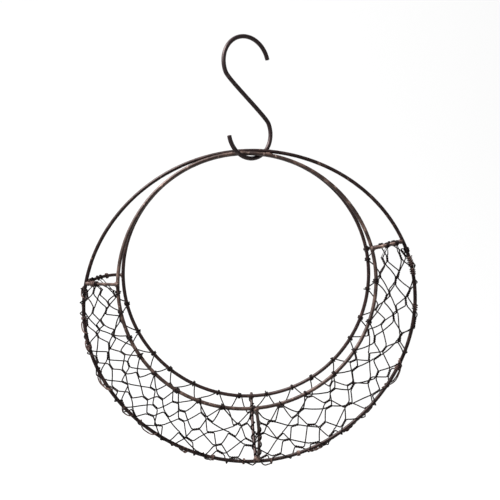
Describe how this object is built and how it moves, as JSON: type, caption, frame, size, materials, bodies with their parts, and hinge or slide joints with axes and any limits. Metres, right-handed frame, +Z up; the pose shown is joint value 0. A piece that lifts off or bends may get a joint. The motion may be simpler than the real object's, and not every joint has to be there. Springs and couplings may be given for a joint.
{
  "type": "wreath frame",
  "caption": "Crescent wreath frame: an outer wire ring, paired inner rings splayed to a netting-lined planting trough, hung from an S-hook.",
  "frame": {"origin": "the point the hook hangs from: the underside of its top loop at its highest point", "axes": "+Z up along the hanging direction, +X to the right seen from the front, +Y towards the back, square to the plane of the outer ring"},
  "size_m": [0.3403, 0.092, 0.4312],
  "materials": {
    "hook_steel": "smooth dark brown oxide finish, worn lighter on the bends",
    "ring_steel": "dark rusty brown patina with purplish and tan patches, satin",
    "net_steel": "thin nearly black annealed wire with brown rust bloom"
  },
  "bodies": {
    "hook": {"s_hook": "hook_steel"},
    "frame": {"outer_ring": "ring_steel", "inner_ring_front": "ring_steel", "inner_ring_back": "ring_steel", "brace_left_front": "ring_steel", "brace_left_back": "ring_steel", "brace_right_front": "ring_steel", "brace_right_back": "ring_steel", "brace_centre_front": "ring_steel", "brace_centre_back": "ring_steel", "net_wire_1": "net_steel", "net_wire_2": "net_steel", "net_wire_3": "net_steel", "net_wire_4": "net_steel", "net_wire_5": "net_steel", "net_wire_6": "net_steel", "net_wire_7": "net_steel", "net_wire_8": "net_steel", "net_wire_9": "net_steel"}
  },
  "joints": [
    {"name": "hang_swivel", "type": "hinge", "parent": "hook", "child": "frame", "pos_m": [0.0038, 0.0025, -0.113], "axis": [0, 0, 1], "range_deg": [-105, 0]}
  ]
}
